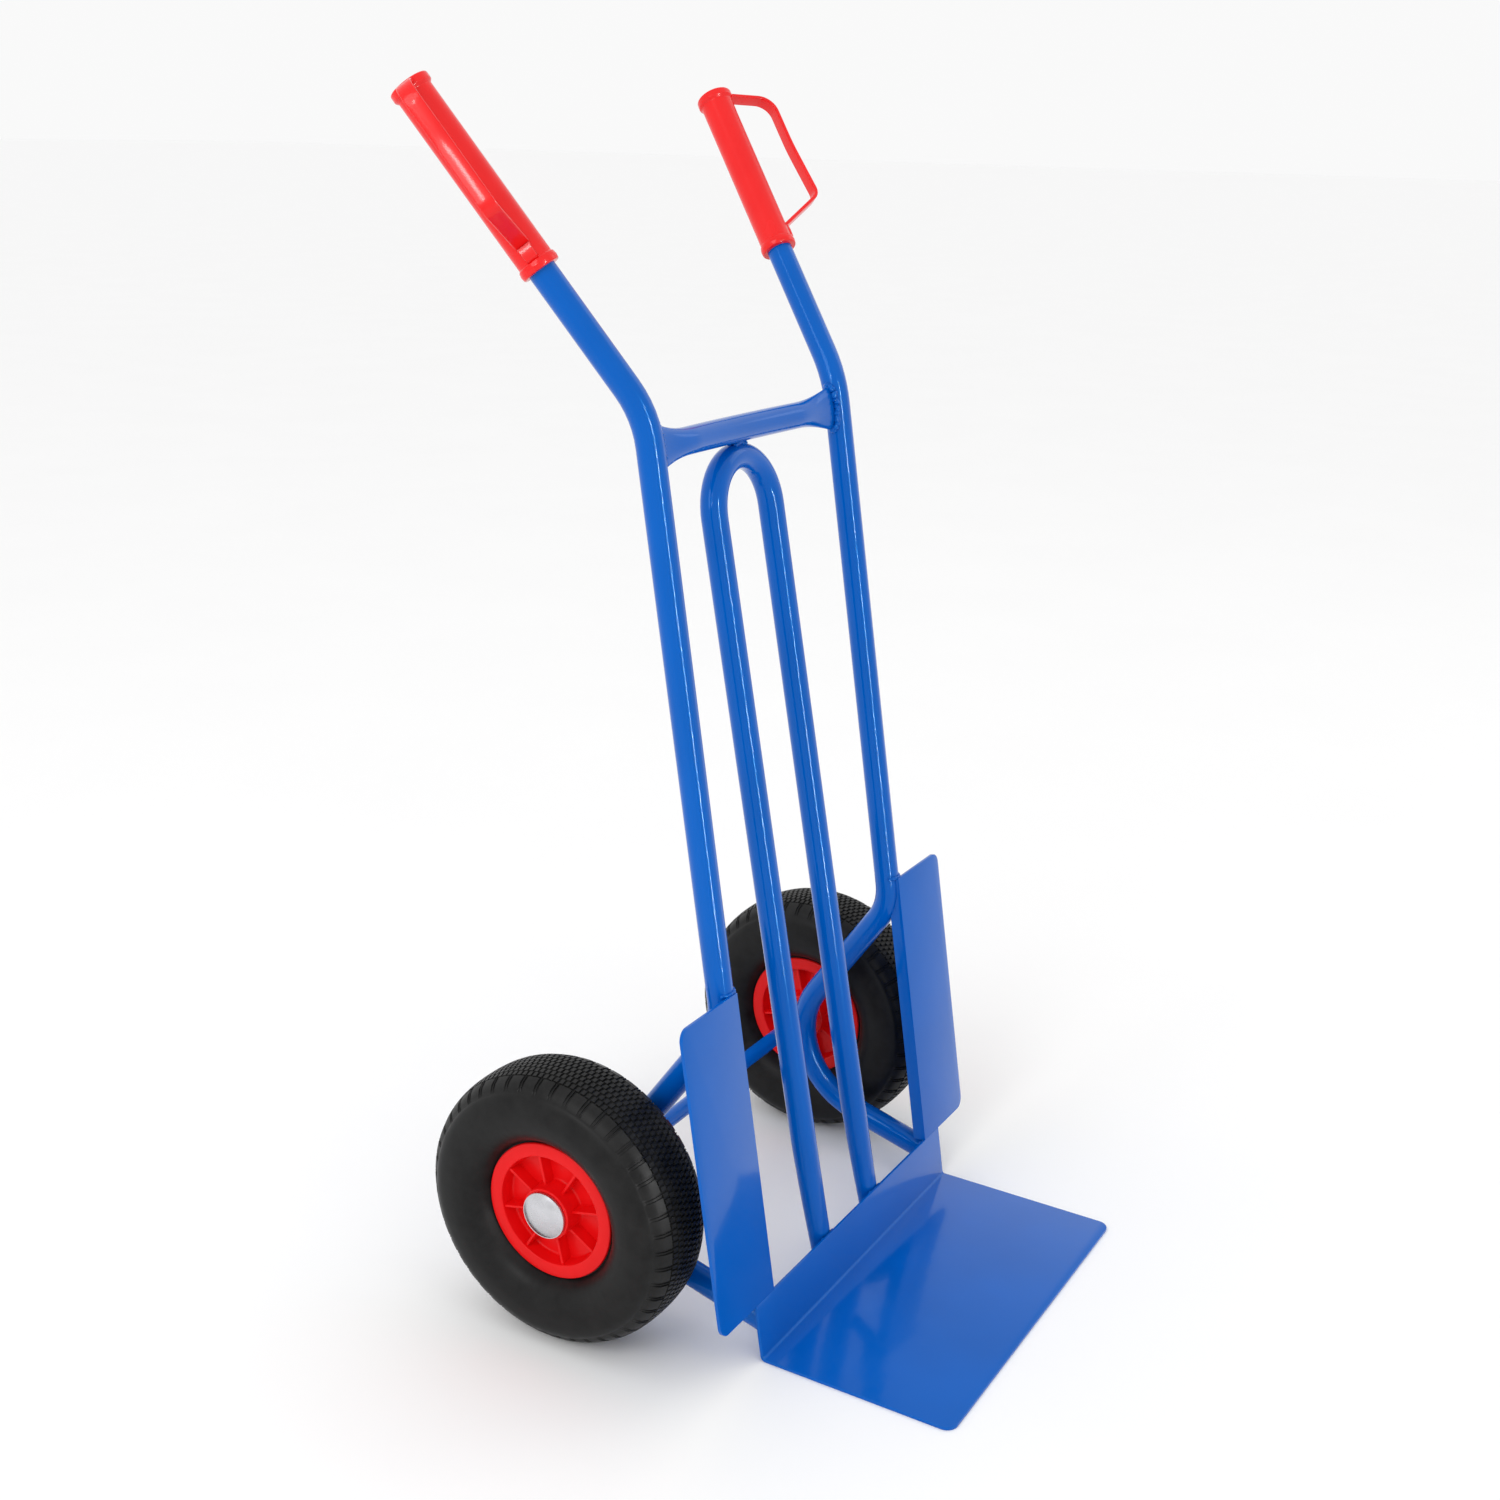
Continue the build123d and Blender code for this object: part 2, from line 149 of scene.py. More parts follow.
def rounded_route(corners, radii, step):
    """A route along straight runs joined by tangent arcs, as evenly spaced points."""
    route = [corners[0]]
    for i in range(1, len(corners) - 1):
        here = corners[i]
        to_last = (corners[i - 1] - here).normalized()
        to_next = (corners[i + 1] - here).normalized()
        half = to_last.angle(to_next) / 2
        reach = radii[i - 1] * cos(half) / sin(half)
        centre = here + (to_last + to_next).normalized() * (radii[i - 1] / sin(half))
        start = here + to_last * reach - centre
        end = here + to_next * reach - centre
        turn = start.angle(end)
        pieces = max(3, int(radii[i - 1] * turn / step))
        for k in range(pieces + 1):
            part = k / pieces
            blend = (start * sin((1 - part) * turn) + end * sin(part * turn)) / sin(turn)
            route.append(centre + blend)
    route.append(corners[-1])
    dense = []
    for first, second in zip(route, route[1:]):
        pieces = max(1, int((second - first).length / step))
        dense += [first.lerp(second, k / pieces) for k in range(pieces)]
    return dense + [route[-1]]


def sweep(route, section_at, first_side, closed=False):
    """Points and faces of a section carried along a route.

    section_at(i) gives the section's (side, up) offsets at the route's point i.
    """
    points = []
    side = first_side
    count = len(route)
    for i, here in enumerate(route):
        last = route[i - 1] if i or closed else here
        after = route[(i + 1) % count] if i < count - 1 or closed else here
        along = (after - last).normalized()
        side = (side - along * side.dot(along)).normalized()
        up = along.cross(side)
        points += [here + side * a + up * b for a, b in section_at(i)]
    around = len(section_at(0))
    faces = []
    for i in range(count if closed else count - 1):
        here = i * around
        there = ((i + 1) % count) * around
        for j in range(around):
            k = (j + 1) % around
            faces.append((here + j, here + k, there + k, there + j))
    if not closed:
        faces.append(tuple(reversed(range(around))))
        faces.append(tuple(range((count - 1) * around, count * around)))
    return points, faces


def joined(*parts):
    """One set of points and faces from several."""
    points = []
    faces = []
    for part_points, part_faces in parts:
        shift = len(points)
        points += part_points
        faces += [tuple(i + shift for i in face) for face in part_faces]
    return points, faces


def united(first, *others):
    """The boolean union of closed (points, faces) shells, as a mesh."""
    objects = []
    for points, faces in (first, *others):
        mesh = bpy.data.meshes.new("shell")
        mesh.from_pydata([tuple(p) for p in points], [], faces)
        shell = bmesh.new()
        shell.from_mesh(mesh)
        bmesh.ops.recalc_face_normals(shell, faces=shell.faces)
        shell.to_mesh(mesh)
        shell.free()
        thing = bpy.data.objects.new("shell", mesh)
        bpy.context.scene.collection.objects.link(thing)
        objects.append(thing)
    base = objects[0]
    for other in objects[1:]:
        union = base.modifiers.new("union", "BOOLEAN")
        union.operation = "UNION"
        union.solver = "EXACT"
        union.object = other
    bpy.context.view_layer.update()
    evaluated = base.evaluated_get(bpy.context.evaluated_depsgraph_get())
    result = bpy.data.meshes.new_from_object(evaluated)
    for thing in objects:
        bpy.data.objects.remove(thing)
    return result


# ------------------------------------------------------------------ materials
def new_material(name, roughness=0.4, metallic=0.0, coat=0.0, coat_roughness=0.05, specular=0.5):
    """A material with its node tree and its shader."""
    made = bpy.data.materials.new(name)
    made.use_nodes = True
    shader = made.node_tree.nodes["Principled BSDF"]
    shader.inputs["Roughness"].default_value = roughness
    shader.inputs["Metallic"].default_value = metallic
    shader.inputs["Coat Weight"].default_value = coat
    shader.inputs["Coat Roughness"].default_value = coat_roughness
    shader.inputs["Specular IOR Level"].default_value = specular
    return made, made.node_tree, shader


def add_noise(tree, scale, detail=3.0, roughness=0.55, stretch=None):
    """Noise in the object's own space. Stretch scales the three directions apart."""
    coords = tree.nodes.new("ShaderNodeTexCoord")
    texture = tree.nodes.new("ShaderNodeTexNoise")
    texture.inputs["Scale"].default_value = scale
    texture.inputs["Detail"].default_value = detail
    texture.inputs["Roughness"].default_value = roughness
    source = coords.outputs["Object"]
    if stretch:
        mapping = tree.nodes.new("ShaderNodeMapping")
        mapping.inputs["Scale"].default_value = stretch
        tree.links.new(source, mapping.inputs["Vector"])
        source = mapping.outputs["Vector"]
    tree.links.new(source, texture.inputs["Vector"])
    return texture.outputs["Fac"]


def ramp(tree, source, low, high, colour_low, colour_high):
    """Blends from one colour to another as a value goes from low to high."""
    node = tree.nodes.new("ShaderNodeValToRGB")
    node.color_ramp.elements[0].position = low
    node.color_ramp.elements[1].position = high
    node.color_ramp.elements[0].color = (*colour_low, 1)
    node.color_ramp.elements[1].color = (*colour_high, 1)
    tree.links.new(source, node.inputs["Fac"])
    return node.outputs["Color"]


def spread(tree, source, low, high):
    """Maps the middle of a noise value's range, where nearly all of it lies, to low..high."""
    node = tree.nodes.new("ShaderNodeMapRange")
    node.inputs["From Min"].default_value = 0.3
    node.inputs["From Max"].default_value = 0.7
    node.inputs["To Min"].default_value = low
    node.inputs["To Max"].default_value = high
    tree.links.new(source, node.inputs["Value"])
    return node.outputs["Result"]


def bumps(tree, shader, *layers):
    """Stacks bump layers of (height, strength, distance) into the shader's normal."""
    normal = None
    for height, strength, distance in layers:
        node = tree.nodes.new("ShaderNodeBump")
        node.inputs["Strength"].default_value = strength
        node.inputs["Distance"].default_value = distance
        tree.links.new(height, node.inputs["Height"])
        if normal:
            tree.links.new(normal, node.inputs["Normal"])
        normal = node.outputs["Normal"]
    tree.links.new(normal, shader.inputs["Normal"])
    if shader.inputs["Coat Weight"].default_value:
        tree.links.new(normal, shader.inputs["Coat Normal"])


def blue_paint():
    """Gloss powder coat: a slight orange peel, soft waves, and a little unevenness of colour."""
    made, tree, shader = new_material("blue_powder_coat", coat=0.25, coat_roughness=0.05, specular=0.32)
    shader.inputs["Specular Tint"].default_value = (0.05, 0.5, 1.0, 1)
    patches = add_noise(tree, 9.0, 2.0)
    colour = ramp(tree, patches, 0.3, 0.7, (0.0, 0.096, 0.455), (0.0, 0.108, 0.505))
    tree.links.new(colour, shader.inputs["Base Color"])
    tree.links.new(spread(tree, add_noise(tree, 60.0), 0.11, 0.17), shader.inputs["Roughness"])
    peel = add_noise(tree, 620.0, 2.0)
    waves = add_noise(tree, 45.0, 2.0)
    bumps(tree, shader, (waves, 0.10, 0.0010), (peel, 0.05, 0.0003))
    return made


def red_plastic(name, bright, deep, roughness, coat):
    """Injection-moulded plastic: faint flow marks and a fine mould grain."""
    made, tree, shader = new_material(name, coat=coat, coat_roughness=0.10, specular=0.16)
    flow = add_noise(tree, 26.0, 3.0, stretch=(1.0, 1.0, 0.35))
    colour = ramp(tree, flow, 0.3, 0.7, deep, bright)
    tree.links.new(colour, shader.inputs["Base Color"])
    tree.links.new(spread(tree, flow, roughness - 0.05, roughness + 0.05), shader.inputs["Roughness"])
    grain = add_noise(tree, 900.0, 2.0)
    bumps(tree, shader, (flow, 0.05, 0.0008), (grain, 0.03, 0.0002))
    return made


def axle_distance(tree):
    """Distance of a shaded point from the wheels' axis, in metres."""
    coords = tree.nodes.new("ShaderNodeTexCoord")
    mapping = tree.nodes.new("ShaderNodeMapping")
    mapping.inputs["Location"].default_value = (0, -axle_centre.y, -axle_centre.z)
    flat = tree.nodes.new("ShaderNodeVectorMath")
    flat.operation = "MULTIPLY"
    flat.inputs[1].default_value = (0, 1, 1)
    length = tree.nodes.new("ShaderNodeVectorMath")
    length.operation = "LENGTH"
    tree.links.new(coords.outputs["Object"], mapping.inputs["Vector"])
    tree.links.new(mapping.outputs["Vector"], flat.inputs[0])
    tree.links.new(flat.outputs["Vector"], length.inputs[0])
    return length.outputs["Value"]


# Colour sockets of the Mix node, which has others of the same name for numbers and vectors.
COLOUR_A, COLOUR_B, COLOUR_OUT = 6, 7, 2


def tyre_rubber():
    """Black rubber, a little greyer with dust on the tread than on the sidewalls."""
    made, tree, shader = new_material("tyre_rubber", specular=0.18)
    dust = add_noise(tree, 55.0, 5.0, 0.65)
    grey = ramp(tree, dust, 0.35, 0.75, (0.0050, 0.0050, 0.0052), (0.0125, 0.0125, 0.0125))
    tread = tree.nodes.new("ShaderNodeMapRange")
    tread.inputs["From Min"].default_value = 112 * MM
    tread.inputs["From Max"].default_value = 129 * MM
    tree.links.new(axle_distance(tree), tread.inputs["Value"])
    mix = tree.nodes.new("ShaderNodeMix")
    mix.data_type = "RGBA"
    tree.links.new(tread.outputs["Result"], mix.inputs["Factor"])
    tree.links.new(grey, mix.inputs[COLOUR_A])
    dusty = ramp(tree, dust, 0.3, 0.8, (0.006, 0.006, 0.006), (0.022, 0.022, 0.0215))
    tree.links.new(dusty, mix.inputs[COLOUR_B])
    tree.links.new(mix.outputs[COLOUR_OUT], shader.inputs["Base Color"])
    tree.links.new(spread(tree, dust, 0.34, 0.52), shader.inputs["Roughness"])
    dents = add_noise(tree, 30.0, 2.0)
    grain = add_noise(tree, 1100.0, 3.0)
    bumps(tree, shader, (dents, 0.10, 0.002), (grain, 0.22, 0.0003))
    return made


def turned_metal(name, colour, roughness, rings):
    """Bright plated metal with faint turning rings and soft stains."""
    made, tree, shader = new_material(name, metallic=1.0)
    stain = add_noise(tree, 70.0, 4.0)
    darker = tuple(0.86 * c for c in colour)
    tree.links.new(ramp(tree, stain, 0.3, 0.75, darker, colour), shader.inputs["Base Color"])
    tree.links.new(spread(tree, stain, roughness - 0.06, roughness + 0.08), shader.inputs["Roughness"])
    wave = tree.nodes.new("ShaderNodeMath")
    wave.operation = "SINE"
    scale = tree.nodes.new("ShaderNodeMath")
    scale.operation = "MULTIPLY"
    scale.inputs[1].default_value = rings
    tree.links.new(axle_distance(tree), scale.inputs[0])
    tree.links.new(scale.outputs["Value"], wave.inputs[0])
    dents = add_noise(tree, 160.0, 3.0)
    bumps(tree, shader, (wave.outputs["Value"], 0.05, 0.0001), (dents, 0.08, 0.0004))
    return made


def black_plastic():
    """Matt black plastic with a fine mould grain."""
    made, tree, shader = new_material("black_plastic", specular=0.4)
    grain = add_noise(tree, 400.0, 3.0)
    colour = ramp(tree, grain, 0.3, 0.7, (0.010, 0.010, 0.011), (0.022, 0.022, 0.023))
    tree.links.new(colour, shader.inputs["Base Color"])
    tree.links.new(spread(tree, grain, 0.40, 0.55), shader.inputs["Roughness"])
    bumps(tree, shader, (grain, 0.15, 0.0002))
    return made


blue = blue_paint()
grip_red = red_plastic("red_grip_plastic", (0.86, 0.010, 0.010), (0.79, 0.006, 0.007), 0.24, 0.35)
rim_red = red_plastic("red_rim_plastic", (0.84, 0.005, 0.007), (0.75, 0.003, 0.004), 0.34, 0.05)
rubber = tyre_rubber()
zinc = turned_metal("zinc_plated_steel", (0.66, 0.66, 0.69), 0.26, 5200.0)
steel = turned_metal("bearing_steel", (0.60, 0.60, 0.62), 0.22, 7000.0)
spacer_black = black_plastic()

CAD_MATERIALS = {
    "side_tube": blue,
    "hairpin_tube": blue,
    "crossbar": blue,
    "axle": blue,
    "wheel_spacer": spacer_black,
    "wheel_washer": zinc,
    "bearing_outer": steel,
    "bearing_inner": steel,
}
for node_name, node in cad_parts.items():
    family = node_name.removesuffix("_left").removesuffix("_right")
    if family in CAD_MATERIALS:
        for holder in node.material_slots:
            holder.material = CAD_MATERIALS[family]


# ------------------------------------------------------------------ sheet metal with eased edges
edge_ease = 0.5 * MM
weld_distance = 2e-6           # between points of the CAD mesh that are one corner
flat_angle = radians(0.5)      # between faces that lie in one plane
sharp_angle = radians(40)


def eased_copy(node_name):
    """A CAD sheet's own shape with its sharp edges eased, as a deburred and coated plate has."""
    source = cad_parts[node_name]
    work = bmesh.new()
    work.from_mesh(source.data)
    bmesh.ops.remove_doubles(work, verts=work.verts, dist=weld_distance)
    bmesh.ops.dissolve_limit(work, angle_limit=flat_angle, verts=work.verts, edges=work.edges)
    sharp = [e for e in work.edges if len(e.link_faces) == 2 and e.calc_face_angle() > sharp_angle]
    bmesh.ops.bevel(
        work, geom=sharp, offset=edge_ease, segments=3, profile=0.5, affect="EDGES", clamp_overlap=True
    )
    mesh = bpy.data.meshes.new(node_name + "_eased")
    work.to_mesh(mesh)
    work.free()
    piece = finish_piece(node_name + "_sheet", mesh, "frame", blue, 30)
    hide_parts(node_name)


eased_copy("toe_plate")
for side_name, side in SIDES:
    eased_copy("wheel_guard_" + side_name)


# ------------------------------------------------------------------ tyres
tyre_r = 130 * MM
channel_half = 24 * MM         # half width between the beads
bead_r = 65.8 * MM
seat_r = 54 * MM               # inside of the tyre, on the rim
mould_line_r = 84 * MM         # a fine groove round each sidewall
mould_line_half, mould_line_depth = 1.6 * MM, 0.45 * MM

tread_depth = 1.7 * MM
lug_depth = 0.85               # of the shoulders, as a part of the tread's depth
tread_pitches = 141
tread_rows = 7                 # of blocks, between the two rows of shoulder lugs
row_width = 5.3 * MM
row_groove = 1.5 * MM
block_fill = 0.70              # part of each pitch that a block fills
block_slope = 0.06             # part of a pitch that its sloping ends take up
block_edge = 0.45 * MM         # width of its sloping sides
lug_length = 17 * MM
lug_pitches = 3                # tread pitches to one shoulder lug
lug_cuts = ((0.19, 0.51), (0.69, 1.01))     # its cuts, in tread pitches
lug_fade = ((0.0, 1), (0.45, 0.9), (0.8, 0.55), (1, 0.0))    # (part of its length, height)
shoulder_gap = 1.2 * MM        # from the lugs to the plain sidewall
shoulder_fade = 9 * MM         # over which the sidewall rises from the cuts' depth
shoulder_sink = 0.45           # of the sidewall at its start, as a part of the tread's depth
sidewall_steps = 22
unevenness = 0.12 * MM
nudge = 1e-6

BLOCK, GROOVE = 1, 0           # heights of a tread line
LUG, SIDEWALL = -1, None       # rows of a tread line that has no row of blocks


def smooth_curve(corners, steps):
    """Points along a Catmull-Rom curve through the corners."""
    curve = []
    for i in range(len(corners) - 1):
        before = corners[max(i - 1, 0)]
        here, after = corners[i], corners[i + 1]
        beyond = corners[min(i + 2, len(corners) - 1)]
        for k in range(steps):
            t = k / steps
            curve.append(0.5 * (
                2 * here + (after - before) * t
                + (2 * before - 5 * here + 4 * after - beyond) * t * t
                + (3 * here - before - 3 * after + beyond) * t * t * t
            ))
    return curve + [corners[-1]]


def tyre_outline():
    """Points (x, r) over the tyre from its outer bead to its inner one."""
    shoulder = ((34, 72), (40.5, 81), (43.2, 92), (43.0, 102), (41.2, 111.5),
                (37.4, 118.8), (31.0, 124.5), (21.5, 128.2), (11, 129.7))
    half = [Vector((channel_half, bead_r))]
    half += [Vector((x * MM, r * MM)) for x, r in shoulder]
    half.append(Vector((0, tyre_r)))
    return smooth_curve(half + [Vector((-p.x, p.y)) for p in reversed(half[:-1])], 12)


def tread_lines(half_length):
    """Lines round the tyre: (distance from the crown, row, height), and where the sidewalls start."""
    lines = []
    row_pitch = row_width + row_groove
    for row in range(tread_rows):
        centre = (row - (tread_rows - 1) / 2) * row_pitch
        lines += [
            (centre - row_width / 2 - block_edge, row, GROOVE), (centre - row_width / 2, row, BLOCK),
            (centre + row_width / 2, row, BLOCK), (centre + row_width / 2 + block_edge, row, GROOVE),
        ]
    lug_start = (tread_rows / 2) * row_pitch + row_groove / 2
    for sign in (-1, 1):
        lines.append((sign * (lug_start - block_edge), LUG, GROOVE))
        lines += [(sign * (lug_start + part * lug_length), LUG, height) for part, height in lug_fade]
    side_start = lug_start + lug_length + shoulder_gap
    for k in range(sidewall_steps + 1):
        s = side_start + (half_length - nudge - side_start) * k / sidewall_steps
        lines += [(s, SIDEWALL, GROOVE), (-s, SIDEWALL, GROOVE)]
    return sorted(lines, key=lambda line: line[0]), side_start


def raised(row, turn):
    """1 on a block or lug of a row, and 0 in its gaps. Turn counts tread pitches."""
    if row == LUG:
        place = turn % lug_pitches
        return 0 if any(low < place < high for low, high in lug_cuts) else 1
    shifted = turn - (0.5 if row % 2 else 0.0)
    place = shifted - int(shifted // 1)
    return 1 if block_slope - nudge <= place <= block_fill - block_slope + nudge else 0


def tread_sink(row, height, turn, s, r, side_start):
    """How far below the smooth outline a point of the tyre lies."""
    if row is SIDEWALL:
        sink = 0.0
        off_line = abs(r - mould_line_r)
        if off_line < mould_line_half:
            sink = -mould_line_depth * (1 - off_line / mould_line_half)
        near = 1 - min(1.0, (abs(s) - side_start) / shoulder_fade)
        return sink + tread_depth * shoulder_sink * near * near
    deep = tread_depth * (lug_depth if row == LUG else 1.0)
    return deep * (1 - height * raised(row, turn))


def tyre_mesh():
    """The outline's tread lines turned about the axle, with blocks and lugs left standing."""
    fine = tyre_outline()
    lengths = [0.0]
    for first, second in zip(fine, fine[1:]):
        lengths.append(lengths[-1] + (second - first).length)
    half_length = lengths[-1] / 2

    def at(s):
        """Point and outward normal of the outline, at a distance from the crown."""
        s += half_length
        i = max(k for k in range(len(lengths) - 1) if lengths[k] <= s)
        part = (s - lengths[i]) / (lengths[i + 1] - lengths[i])
        direction = (fine[i + 1] - fine[i]).normalized()
        return fine[i].lerp(fine[i + 1], part), Vector((direction.y, -direction.x))

    lines, side_start = tread_lines(half_length)
    section = [(*at(s), row, height, s) for s, row, height in lines]
    stops = (0.0, block_slope, block_fill - block_slope, block_fill)
    turns = sorted({
        round((k + half + stop) % tread_pitches, 5)
        for k in range(tread_pitches) for half in (0.0, 0.5) for stop in stops
    })
    angles = [tau * turn / tread_pitches for turn in turns]

    points = []
    for turn, angle in zip(turns, angles):
        for point, normal, row, height, s in section:
            place = point - normal * tread_sink(row, height, turn, s, point.y, side_start)
            wobble = unevenness * noise.noise(Vector((place.x * 60, angle * 9, place.y * 60)))
            place = place - normal * abs(wobble)
            points.append((place.x, place.y * cos(angle), place.y * sin(angle)))
    for angle in angles:
        for x in (-channel_half, channel_half):
            points.append((x, seat_r * cos(angle), seat_r * sin(angle)))

    count = len(section)
    faces = []
    for k in range(len(angles)):
        n = (k + 1) % len(angles)
        for i in range(count - 1):
            faces.append((k * count + i, n * count + i, n * count + i + 1, k * count + i + 1))
        here = len(angles) * count + 2 * k
        there = len(angles) * count + 2 * n
        faces.append((k * count + count - 1, n * count + count - 1, there, here))
        faces.append((here, there, there + 1, here + 1))
        faces.append((here + 1, there + 1, n * count, k * count))
    return points, faces


tyre_points, tyre_faces = tyre_mesh()
for side_name, side in SIDES:
    body = "wheel_" + side_name
    centre = Vector((side * wheel_x, axle_centre.y, axle_centre.z))
    spin = Matrix.Translation(centre) @ Matrix.Rotation(0.0 if side > 0 else pi, 4, "Z")
    points = [spin @ Vector(p) for p in tyre_points]
    tyre = new_piece(body + "_tyre", points, tyre_faces, body, rubber, 50)
    work = bmesh.new()
    work.from_mesh(tyre.data)
    bmesh.ops.recalc_face_normals(work, faces=work.faces)
    work.to_mesh(tyre.data)
    work.free()
    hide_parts("tyre_" + side_name)


# ------------------------------------------------------------------ rims
rim_r, rim_half = 64.8 * MM, 27 * MM        # flange, and half width over both flanges
well_r = 52.4 * MM             # inside of the barrel
web_x, web_t = 10 * MM, 3 * MM
hub_r, hub_half = 24 * MM, 32.5 * MM
bearing_r, throat_r = 17.5 * MM, 14.5 * MM
bearing_width = 11 * MM
hub_wall = 7.5 * MM
rib_count = 8
rib_turn = radians(13.5)       # of the first rib
rib_t = 2.4 * MM               # at its top; its foot is wider for draft
rib_sunk = 0.6 * MM            # how far its ends reach into the hub and the barrel


def rim_half_mesh():
    """One moulded half rim about the z axis, facing +z: flange, well, web, hub and ribs."""
    outline = rounded_profile([
        (well_r, 0, 0), (seat_r, 0, 0), (seat_r, rim_half - 3 * MM, 0.6 * MM),
        (rim_r, rim_half - 3 * MM, 0.6 * MM), (rim_r, rim_half, 1.4 * MM),
        (well_r - 0.3 * MM, rim_half, 1.3 * MM), (well_r - 1.6 * MM, web_x + web_t, 2.5 * MM),
        (hub_r + 0.9 * MM, web_x + web_t, 2.5 * MM), (hub_r, hub_half, 1.0 * MM),
        (bearing_r, hub_half, 0.5 * MM), (bearing_r, hub_half - bearing_width, 0),
        (throat_r, hub_half - bearing_width, 0), (throat_r, 0, 0), (throat_r + hub_wall, 0, 0),
        (throat_r + hub_wall, web_x, 1.5 * MM), (well_r, web_x, 1.5 * MM),
    ], 4)
    shell = lathe([(p.x, p.y) for p in outline], 128, Matrix.Identity(4))
    ribs = []
    start, end = hub_r - rib_sunk, well_r - rib_sunk
    foot = web_x + 1.2 * MM
    top = rim_half - 2.2 * MM
    section = rounded_profile([
        (-rib_t * 0.7, foot, 0), (rib_t * 0.7, foot, 0),
        (rib_t / 2, top, 0.7 * MM), (-rib_t / 2, top, 0.7 * MM),
    ], 4)
    around = len(section)
    for k in range(rib_count):
        spoke = Matrix.Rotation(rib_turn + tau * k / rib_count, 4, "Z")
        points = [spoke @ Vector((r, p.x, p.y)) for r in (start, end) for p in section]
        faces = [(j, (j + 1) % around, around + (j + 1) % around, around + j) for j in range(around)]
        faces += [tuple(reversed(range(around))), tuple(range(around, 2 * around))]
        ribs.append((points, faces))
    return united(shell, joined(*ribs))


rim_template = rim_half_mesh()
for side_name, side in SIDES:
    body = "wheel_" + side_name
    centre = Vector((side * wheel_x, axle_centre.y, axle_centre.z))
    for facing, label in ((1, "outer"), (-1, "inner")):
        out = side * facing
        place = axes(centre, Vector((0, out, 0)), Vector((out, 0, 0)))
        mesh = rim_template.copy()
        mesh.transform(place)
        rim = finish_piece(f"{body}_rim_{label}", mesh, body, rim_red, 40)
        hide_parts(f"rim_{label}_{side_name}")


# ------------------------------------------------------------------ caps
cap_r, cap_height, cap_skirt, cap_t = 21.8 * MM, 8.5 * MM, 2.2 * MM, 0.9 * MM
cap_gap = 0.4 * MM             # to the hub's end


def cap_outline():
    """A domed push-on cap about the z axis, with a rolled rim, as a closed section."""
    dome = cap_height - cap_skirt
    ball = (cap_r**2 + dome**2) / (2 * dome)
    outer = []
    steps = 22
    for k in range(steps + 1):
        r = 0.2 * MM + (cap_r - 0.9 * MM) * k / steps
        outer.append((r, cap_height - ball + sqrt(ball**2 - r**2)))
    outer += [
        (cap_r - 0.25 * MM, cap_skirt + 0.55 * MM), (cap_r, cap_skirt - 0.2 * MM), (cap_r, 0.4 * MM),
        (cap_r - 0.3 * MM, 0.0), (cap_r - 1.0 * MM, 0.0), (cap_r - 1.2 * MM, 0.6 * MM),
    ]
    inner = [(r * 0.95, max(0.8 * MM, z - cap_t)) for r, z in reversed(outer[:steps])]
    return outer + inner


for side_name, side in SIDES:
    base = Vector((side * (wheel_x + hub_half + cap_gap), axle_centre.y, axle_centre.z))
    points, faces = lathe(cap_outline(), 96, axes(base, Vector((0, side, 0)), Vector((side, 0, 0))))
    cap = new_piece("axle_cap_" + side_name, points, faces, "frame", zinc, 40)
    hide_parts("dome_cap_" + side_name)


# ------------------------------------------------------------------ grips
guard_turn = radians(27.5)     # of the knuckle guard, forward from straight outward
strap_half_width, strap_half_t, strap_round = 6.7 * MM, 1.6 * MM, 1.1 * MM
# (distance from the handle's axis, distance along it from its vertex), both in mm, and bend radii
strap_corners = ((13.4, 309.8), (58.6, 300.8), (58.7, 248), (63.6, 190), (13.6, 161.5))
strap_bends = (18 * MM, 260 * MM, 11 * MM)
# the strap's root, in mm: distance along the handle, half width, height
root_sections = ((147.5, 5.2, 1.0), (149.0, 5.8, 2.6), (156.0, 5.8, 2.9), (160.5, 6.4, 2.0))
root_chamfer = 0.8
root_base = 13.4               # distance from the handle's axis, inside the sleeve's wall


def grip_frame(side):
    """The handle's vertex, its direction, and the way that its knuckle guard stands out."""
    reach = Vector((side * handle_reach.x, handle_reach.y, handle_reach.z)).normalized()
    vertex = leaning(side * half_track, tube_y, handle_vertex)
    along = leaning(side * half_track + reach.x, tube_y + reach.y, handle_vertex + reach.z) - vertex
    across = Vector((side, 0, 0))
    outward = (across - along * along.dot(across)).normalized()
    forward = outward.cross(along) * side
    return vertex, along, outward * cos(guard_turn) + forward * sin(guard_turn)


def grip_sleeve(vertex, along, stand):
    """The sleeve with its collar at the foot, and its lip and closed head."""
    outline = rounded_profile([(r * MM, t * MM, f * MM) for r, t, f in (
        (12.05, 139, 0), (16.6, 139, 1.2), (17.2, 143, 1.6), (16.6, 146.6, 1.2), (15.4, 147.6, 0.8),
        (15.3, 303.3, 1.5), (17.4, 305.8, 1.2), (17.4, 312.2, 1.4), (0.2, 312.2, 0), (0.2, 308.2, 0),
        (12.05, 308.2, 0),
    )], 4)
    return lathe([(p.x, p.y) for p in outline], 72, axes(vertex, stand, along))


def grip_band(vertex, along, stand):
    """The knuckle guard: a flat strap with rounded edges from the head down to the foot."""
    corners = [vertex + stand * (r * MM) + along * (t * MM) for r, t in strap_corners]
    route = rounded_route(corners, strap_bends, 2 * MM)
    strap = rounded_profile([
        (x * strap_half_width, y * strap_half_t, strap_round)
        for x, y in ((-1, -1), (1, -1), (1, 1), (-1, 1))
    ], 4)
    section = [(p.x, p.y) for p in strap]
    return sweep(route, lambda i: section, stand.cross(along))


